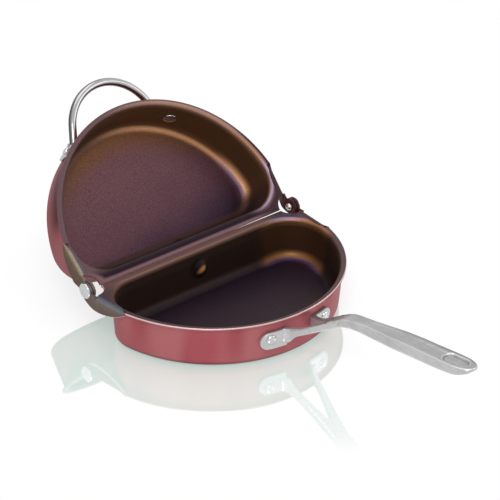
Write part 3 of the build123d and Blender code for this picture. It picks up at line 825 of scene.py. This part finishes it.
def turned(name, profile, spot, across, up, axis, place):
    # Turned shape: the profile of (radius, height) swept round the axis
    radius, height = np.array(profile).T
    ring = np.outer(np.cos(around(64)), across) + np.outer(np.sin(around(64)), up)
    loops = spot + radius[:, None, None] * ring + height[:, None, None] * axis
    return closedShell(name, loops, place, [steel["rivet"]], sharp=50)


def domeProfile(radius, height, base):
    # Quarter oval from the head's edge to its crown, standing on base
    swing = np.linspace(0, np.pi / 2 - 0.03, 14)
    return [(radius * np.cos(t), base + height * np.sin(t)) for t in swing]


def wallRivet(kind, side, place, name):
    # Dome inside the wall, shank through wall and foot, dome outside; its axis is the normal of the
    # drafted wall
    shape, wall, bite = rivetShape[kind], pan["wall"], rivetShape["bite"]
    turn, lean = np.radians(shape["angle"] * side), np.radians(pan["draft"])
    out, along = np.array([np.sin(turn), -np.cos(turn), 0]), np.array([np.cos(turn), np.sin(turn), 0])
    normal = out * np.cos(lean) - np.array([0, 0, np.sin(lean)])
    inner = domeProfile(rivetShape["innerHead"], rivetShape["innerHeight"], 0.25)[::-1]
    profile = [(radius, -wall - height) for radius, height in inner]
    profile += [(rivetShape["innerHead"], bite - wall), (rivetShape["shank"], bite - wall)]
    profile += [(rivetShape["shank"], shape["seat"] - bite), (shape["head"], shape["seat"] - bite)]
    profile += domeProfile(shape["head"], shape["height"], shape["seat"] + 0.1)
    spot = onWall(turn, bodyHeight - shape["up"], 0.0)
    return turned(name, profile, spot, along, np.cross(normal, along), normal, place)


def hingeRivet(side, name):
    # Formed tail inside the upper ear, pin through both ears, wide flat head outside the lower one
    seat, tail = ears["lower"]["outer"], ears["upper"]["outer"] - pan["sheet"] - 0.1
    inner = domeProfile(rivetShape["hingeTail"], rivetShape["hingeTailHeight"], 0)[::-1]
    profile = [(radius, tail - height) for radius, height in inner]
    profile += [(rivetShape["pin"], tail), (rivetShape["pin"], seat)]
    profile += [(rivetShape["hingeHead"] - inwards, seat + rivetShape["hingeHeight"] * part)
                for inwards, part in rivetShape["hingeCurve"]]
    x, y, z = np.eye(3)
    return turned(name, profile, np.zeros(3), y, z, x * side, onStand)


for side, word in ((-1, "left"), (1, "right")):
    piece = wallRivet("handle", side, onStand, "handleRivet_" + word)
    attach(piece, "lower")
    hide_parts("handle_rivet_" + word)
    piece = wallRivet("loop", -side, opened, "loopRivet_" + word)
    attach(piece, "upper")
    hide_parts("loop_rivet_" + word)
    piece = hingeRivet(side, "hingeRivet_" + word)
    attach(piece, "lower")
    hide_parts("hinge_rivet_" + word)
    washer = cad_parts["hinge_washer_" + word]
    washer.data.materials.clear()
    washer.data.materials.append(steel["washer"])
print("rivets made")


handle = {
    "front": 143.5, "length": 203.5, "rootTop": 30.8, "rootBottom": 13.0, "tipTop": 86.3, "tipBottom": 84.0,
    "top": [(0.0, 0.0), (0.061, 0.076), (0.14, 0.265), (0.224, 0.481), (0.3, 0.634), (0.361, 0.69),
            (0.483, 0.766), (0.666, 0.865), (0.849, 0.939), (1.0, 1.0)],
    "bottom": [(0.0, 0.0), (0.042, 0.169), (0.096, 0.275), (0.14, 0.352), (0.224, 0.5), (0.3, 0.628),
               (0.361, 0.675), (0.483, 0.723), (0.666, 0.796), (0.849, 0.862), (0.935, 0.903),
               (0.98, 0.955), (1.0, 1.0)],
    "gripHalf": 11.8, "leastHalf": 0.4, "rootHalf": 17.8, "armWidth": 4.4, "fork": 45.0, "corner": 2.6,
    "plan": [(0.0, 1.508), (0.1, 1.18), (0.2, 0.87), (0.26, 0.735), (0.361, 0.712), (0.483, 0.82),
             (0.605, 0.965), (0.727, 1.0), (0.849, 1.0), (0.921, 0.95), (0.97, 0.72), (0.992, 0.4),
             (1.0, 0.0)],
    "padUp": 22.8, "padHeight": 17.8, "padThick": 3.5, "padOut": 9.8, "padIn": 16.4, "padAngle": 15.0,
    "padSink": 0.25, "recessFromTip": 21.0, "recessLength": 25.0, "recessWidth": 11.5, "recessDepth": 1.9,
    "recessBlend": 1.6, "lean": [(0.0, 0.4), (0.25, 0.6), (0.42, 2.4), (0.75, 2.4), (0.93, 1.4), (1.0, 0.6)],
    "channel": [(0.0, 0.0), (0.27, 0.0), (0.38, 1.0), (0.84, 1.0), (0.9, 0.3), (1.0, 0.0)],
    "channelHalf": 5.2, "channelDepth": 0.9, "shoulder": 0.8, "voxel": 0.45, "rootFillet": 8.0,
    "gripShares": [(0.205, 0.93, 150), (0.935, 0.9995, 50)], "armShares": (-0.008, 0.26, 90),
    "filletShare": 0.8, "step": 0.018, "armRise": 1.4, "armRiseShare": 0.2, "armOverlap": 1.5,
}


def smoothLine(table, at):
    # Monotone cubic through the table's points, its slopes the harmonic means of its chords
    x, y = np.array(table, float).T
    h, d = np.diff(x), np.diff(y) / np.diff(x)
    m = np.zeros(len(x))
    same = d[:-1] * d[1:] > 0
    w1, w2 = 2 * h[1:] + h[:-1], h[1:] + 2 * h[:-1]
    m[1:-1] = np.where(same, (w1 + w2) / (w1 / np.where(same, d[:-1], 1) + w2 / np.where(same, d[1:], 1)), 0)
    m[0], m[-1] = d[0], d[-1]
    k = np.clip(np.searchsorted(x, at, side="right") - 1, 0, len(h) - 1)
    return cubic((at - x[k]) / h[k], y[k], y[k + 1], h[k] * m[k], h[k] * m[k + 1])


def handleLine(line, end, share):
    # Height of the handle's top or bottom line at each share of its length, from root to tip
    root, tip = handle["root" + end], handle["tip" + end]
    return root - pan["depth"] + smoothLine(handle[line], share) * (tip - root)


def gripLoops(half, low, top, y, share):
    # Closed ring at each y: a channel with a raised border on top, sides that lean out from the
    # narrow top to the full width, round corners below
    lean = np.minimum(np.interp(share, *np.array(handle["lean"]).T), 0.3 * half)
    flat, tall = half - lean, top - low
    depth = handle["channelDepth"] * np.interp(share, *np.array(handle["channel"]).T)
    channel = np.minimum(handle["channelHalf"], 0.6 * flat)
    corner = np.minimum(handle["corner"], 0.4 * tall)
    shoulder = np.minimum(handle["shoulder"], 0.2 * half)
    side = [(channel * part, top - depth * (1 - part ** 4)) for part in np.linspace(0, 1, 8)[:-1]]
    side += [(channel + (flat - shoulder - channel) * part, top) for part in (0.0, 0.5, 1.0)]
    side += [(flat - shoulder + shoulder * np.sin(swing), top - shoulder + shoulder * np.cos(swing))
             for swing in np.linspace(0.25, 0.5, 3) * np.pi]
    side += [(flat + lean * part, top - shoulder - (tall - corner - shoulder) * part)
             for part in np.linspace(0.15, 1.0, 7)[:-1]]
    side += [(half - corner + corner * np.cos(swing), low + corner - corner * np.sin(swing))
             for swing in np.linspace(0, 0.5 * np.pi, 6)]
    across, up = np.transpose(side, (1, 2, 0))
    x = np.concatenate([across, -across[:, :0:-1]], 1)
    z = np.concatenate([up, up[:, :0:-1]], 1)
    return np.stack(np.broadcast_arrays(x, y[:, None], z), -1)


def gripPart():
    # The grip's rings with the blind oval recess: points on top inside a slot shape sink by its depth
    share = np.concatenate([np.linspace(*row) for row in handle["gripShares"]])
    end = handle["front"] + handle["length"]
    top, low = handleLine("top", "Top", share), handleLine("bottom", "Bottom", share)
    half = np.maximum(smoothLine(handle["plan"], share) * handle["gripHalf"], handle["leastHalf"])
    grip = gripLoops(half, low, top, -(handle["front"] + share * handle["length"]), share)
    run = (handle["recessLength"] - handle["recessWidth"]) / 2
    alongSlot = np.maximum(np.abs(grip[..., 1] + end - handle["recessFromTip"]) - run, 0)
    far = np.hypot(grip[..., 0], alongSlot) - handle["recessWidth"] / 2
    sunk = handle["recessDepth"] * np.clip(0.5 - far / handle["recessBlend"], 0, 1)
    top, z = top[:, None], grip[..., 2]
    grip[..., 2] = np.where(z > top - handle["channelDepth"], np.minimum(z, top - sunk), z)
    return closedShell("grip", grip, onStand, [steel["handle"]])


def armPart(side):
    # One arm of the fork: squarish ovals from the wall to the grip, spread by a fillet at the root
    share = np.linspace(*handle["armShares"])
    along, fillet = share * handle["length"], handle["rootFillet"]
    top = handleLine("top", "Top", np.maximum(share, 0)) - 0.05
    top = top + handle["armRise"] * np.clip(1 - share / handle["armRiseShare"], 0, 1)
    low = handleLine("bottom", "Bottom", np.maximum(share, handle["step"]))
    near = np.clip(1 - (along + 1.5) / fillet, 0, 1)
    outer = smoothLine(handle["plan"], np.maximum(share, 0)) * handle["gripHalf"]
    outer = outer + fillet * (1 - np.sqrt(1 - near ** 2)) * handle["filletShare"]
    inner = (handle["rootHalf"] - handle["armWidth"]) * (1 - along / handle["fork"])
    inner = np.maximum(inner, -handle["armOverlap"])
    ox, oz = squarish(64, 4.0)
    x = side * (outer + inner)[:, None] / 2 + (outer - inner)[:, None] / 2 * ox
    z = (low + top)[:, None] / 2 + (top - low)[:, None] / 2 * oz
    arm = np.stack(np.broadcast_arrays(x, -(handle["front"] + along)[:, None], z), -1)
    return closedShell("arm", arm, onStand, [steel["handle"]])


def padPart(side):
    # One foot: sections round the wall, each a squarish oval between the wall and the foot's face,
    # with a round outer end
    depth, thick = bodyHeight - handle["padUp"], handle["padThick"] + handle["padSink"]
    half = handle["padHeight"] / 2
    roundFrom = handle["padOut"] - half
    reach = np.concatenate([np.linspace(-handle["padIn"], roundFrom, 40),
                            roundFrom + half * np.sin(np.linspace(0.03, 1.55, 30))])
    ending = np.sqrt(np.maximum(half ** 2 - (reach - roundFrom) ** 2, 0.02))
    tall = np.where(reach > roundFrom, ending, half)
    turn = np.radians(handle["padAngle"] * side) + side * reach / (pan["wallRadius"] - depth * slope)
    ox, oz = squarish(96, 5.0)
    pad = onWall(turn[:, None], depth - tall[:, None] * oz, thick / 2 - handle["padSink"] + ox * thick / 2)
    return closedShell("pad", pad, onStand, [steel["handle"]])


def handlePiece():
    # Grip, two arms and two feet as closed shells, fused by a fine remesh and smoothed
    parts = [gripPart(), armPart(-1), armPart(1), padPart(-1), padPart(1)]
    piece = joined("forkedHandle", parts)
    fuse = piece.modifiers.new("fuse", "REMESH")
    fuse.mode, fuse.voxel_size, fuse.use_smooth_shade = "VOXEL", handle["voxel"] * mm, True
    soften = piece.modifiers.new("soften", "SMOOTH")
    soften.factor, soften.iterations = 0.5, 10
    baked = bpy.data.meshes.new_from_object(piece.evaluated_get(bpy.context.evaluated_depsgraph_get()))
    piece.modifiers.clear()
    piece.data = baked
    baked.materials.clear()
    baked.materials.append(steel["handle"])
    baked.shade_smooth()
    print("handle faces", len(baked.polygons))
    return piece


piece = handlePiece()
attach(piece, "lower")
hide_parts("main_handle")


loop = {
    "rod": 3.7, "tilt": -9.0, "depth": 23.1, "rise": 34.4, "arch": 45.8, "slant": 21.4, "leg": 17.0,
    "angle": 30.5, "footIn": 9.5, "footOut": 11.0, "footHeight": 12.5, "footThick": 2.5, "footGap": 0.02,
    "footSquare": 2.5,
}


def loopPiece():
    # Rod along a centre line: arch, slanting legs, then a turn outwards along the wall. The ring
    # is a circle on the rod and flattens to the foot's height and thickness on the wall.
    tilt, slant = np.radians(loop["tilt"]), np.radians(loop["slant"])
    outwards = np.array([0, -np.cos(tilt), -np.sin(tilt)])
    swing = np.linspace(0, np.pi / 2 - slant, 60)
    arch = loop["arch"] * np.stack([np.sin(swing), np.cos(swing) - 1], -1) + [0, loop["rise"]]
    leg = arch[-1] + np.outer(np.linspace(0, loop["leg"], 14)[1:], [np.sin(slant), -np.cos(slant)])
    rod = onWall(0.0, loop["depth"], 0.0) + np.concatenate([arch, leg]) @ [[1, 0, 0], outwards]
    # Foot: on the wall from a little before the rivet to its end
    reach = np.linspace(-loop["footIn"], loop["footOut"], 24)
    turn = np.radians(loop["angle"]) + reach / (pan["wallRadius"] - loop["depth"] * slope)
    foot = onWall(turn, loop["depth"], loop["footThick"] / 2 + loop["footGap"])
    # A smooth turn joins them: cubic with the rod's and the foot's own directions
    gap = np.linalg.norm(foot[0] - rod[-1])
    bend = cubic(np.linspace(0, 1, 16)[1:-1, None], rod[-1], foot[0],
                 unit(rod[-1] - rod[-2]) * gap, unit(foot[1] - foot[0]) * gap)
    line = np.concatenate([rod, bend, foot])
    line = np.concatenate([(line * [-1, 1, 1])[::-1][:-1], line])
    along = unit(np.gradient(line, axis=0))
    plane = np.cross([1.0, 0, 0], outwards)
    height = unit(plane - (along @ plane)[:, None] * along)
    across = np.cross(along, height)
    flat = np.concatenate([np.zeros(len(rod)), np.linspace(0, 1, len(bend)), np.ones(len(foot))])
    flat = flat * flat * (3 - 2 * flat)
    flat = np.concatenate([flat[::-1][:-1], flat])[:, None]
    halfFoot = loop["footHeight"] / 2
    tall = loop["rod"] + (halfFoot - loop["rod"]) * flat
    thick = loop["rod"] + (loop["footThick"] / 2 - loop["rod"]) * flat
    toEnd = np.linalg.norm(line - line[-1], axis=1)
    toEnd = np.minimum(toEnd, toEnd[::-1])[:, None]
    ending = np.sqrt(np.maximum(halfFoot ** 2 - (halfFoot - toEnd) ** 2, 0.05))
    tall = np.where(toEnd < halfFoot, ending, tall)
    ox, oz = squarish(48, 2 + loop["footSquare"] * flat)
    loops = line[:, None] + (tall * ox)[..., None] * height[:, None]
    loops = loops + (thick * oz)[..., None] * across[:, None]
    # The band carries the rod's painted shade where its surface turns into the loop's plane
    band = np.abs(np.sin(around(48))) * (1 - flat)
    return closedShell("loopRod", loops, opened, [steel["rod"]], band=band, sharp=45)


piece = loopPiece()
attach(piece, "upper")
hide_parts("loop_handle")
print("handles made")


room = {
    "floorSize": 6.0, "floorDrop": 0.0002, "white": 1.0, "dim": 0.5, "floorShade": 0.3, "floorLight": 0.85,
    "mirror": 0.4, "mirrorTint": (1.0, 0.71, 0.8), "mirrorRough": 0.04, "middle": (-0.02, -0.02, 0.0),
    "fadeStart": 0.2, "fadeStop": 0.25, "aim": (0, 0, 0.05),
    "key": {"at": (-1.3, -1.4, 2.0), "size": 1.3, "power": 30.0},
    "fill": {"at": (1.7, -1.4, 1.0), "size": 1.4, "power": 8.0},
    "top": {"at": (0.2, 0.6, 2.2), "size": 1.6, "power": 10.0},
}
camera = {
    "turn": 41.705, "down": 30.062, "roll": 1.153, "distance": 1.98025, "focal": 2200.0,
    "picture": 500, "sensor": 36.0, "target": (0.034965, -0.013864, 0.042865),
}


def makeFloor():
    # A white glossy table: its own light, what falls on it, and a mirror share, which together are
    # white where nothing stands in the way
    size = room["floorSize"]
    mesh = bpy.data.meshes.new("floor")
    corners = [(-size, -size, 0), (size, -size, 0), (size, size, 0), (-size, size, 0)]
    mesh.from_pydata(corners, [], [(0, 1, 2, 3)])
    floor = bpy.data.objects.new("floor", mesh)
    bpy.context.scene.collection.objects.link(floor)
    floor.location.z = -room["floorDrop"]
    material, tree, shader = nodeMaterial("paleFloor")
    shade, mirror = room["floorShade"], room["mirror"] * np.array(room["mirrorTint"])
    setValues(shader, Base_Color=(shade, shade, shade, 1), Roughness=1.0, Specular_IOR_Level=0.0)
    own = 1.0 - mirror - shade * room["floorLight"]
    glow = add(tree, "Emission", {"Color": (*own, 1), "Strength": 1.0})
    lit = add(tree, "AddShader", {0: shader.outputs[0], 1: glow.outputs[0]})
    shine = add(tree, "BsdfGlossy", {"Color": (*mirror, 1), "Roughness": room["mirrorRough"]})
    near = add(tree, "AddShader", {0: lit.outputs[0], 1: shine.outputs[0]})
    # Away from the pan the table is plain white, so the far end of the reflection dies out
    place = add(tree, "TexCoord").outputs["Object"]
    away = vectorMaths(tree, "DISTANCE", place, room["middle"])
    away = fade(tree, away, room["fadeStart"], room["fadeStop"])
    plain = add(tree, "Emission", {"Color": (1, 1, 1, 1), "Strength": 1.0})
    final = add(tree, "MixShader", {0: away, 1: near.outputs[0], 2: plain.outputs[0]})
    tree.links.new(final.outputs[0], tree.nodes["Material Output"].inputs["Surface"])
    mesh.materials.append(material)


def makeWorld():
    # White to the camera and in reflections, dimmer as light on the pan
    world = bpy.data.worlds.new("studio")
    bpy.context.scene.world = world
    world.use_nodes = True
    tree = world.node_tree
    tree.nodes.clear()
    path = add(tree, "LightPath").outputs
    seen = maths(tree, "MAXIMUM", path["Is Camera Ray"], path["Is Glossy Ray"])
    seen = maths(tree, "MAXIMUM", seen, path["Is Transmission Ray"])
    dim = add(tree, "Background", {"Color": (1, 1, 1, 1), "Strength": room["dim"]})
    white = add(tree, "Background", {"Color": (1, 1, 1, 1), "Strength": room["white"]})
    mixed = add(tree, "MixShader", {0: seen, 1: dim.outputs[0], 2: white.outputs[0]})
    add(tree, "OutputWorld", {"Surface": mixed.outputs[0]})


def frameMatrix(x, y, z, at):
    # Placement from three axes and a place
    return Matrix([[*row] for row in np.vstack([np.column_stack([x, y, z, at]), [0, 0, 0, 1]])])


def makeLight(name):
    # A square area light that looks at the room's aim
    look = room[name]
    data = bpy.data.lights.new(name, "AREA")
    data.size, data.energy = look["size"], look["power"]
    light = bpy.data.objects.new(name, data)
    bpy.context.scene.collection.objects.link(light)
    towards = unit(np.subtract(room["aim"], look["at"]))
    side = unit(np.cross(towards, [0, 0, 1.0]))
    light.matrix_world = frameMatrix(side, np.cross(side, towards), -towards, look["at"])


def makeCamera():
    # Turned from +Y, tipped down and rolled about its own axis, a distance back from the target
    turn, down, roll = (np.radians(camera[key]) for key in ("turn", "down", "roll"))
    forward = np.array([np.sin(turn) * np.cos(down), np.cos(turn) * np.cos(down), -np.sin(down)])
    right = np.array([np.cos(turn), -np.sin(turn), 0])
    up = np.cross(right, forward)
    x = right * np.cos(roll) + up * np.sin(roll)
    y = up * np.cos(roll) - right * np.sin(roll)
    data = bpy.data.cameras.new("camera")
    data.sensor_width = camera["sensor"]
    data.lens = camera["focal"] / camera["picture"] * camera["sensor"]
    data.clip_end = 50
    eye = bpy.data.objects.new("camera", data)
    bpy.context.scene.collection.objects.link(eye)
    eye.matrix_world = frameMatrix(x, y, -forward, np.array(camera["target"]) - forward * camera["distance"])
    bpy.context.scene.camera = eye


makeFloor()
makeWorld()
for name in ("key", "fill", "top"):
    makeLight(name)
makeCamera()
bpy.context.scene.view_settings.view_transform = "Standard"
print("room, light and camera made")
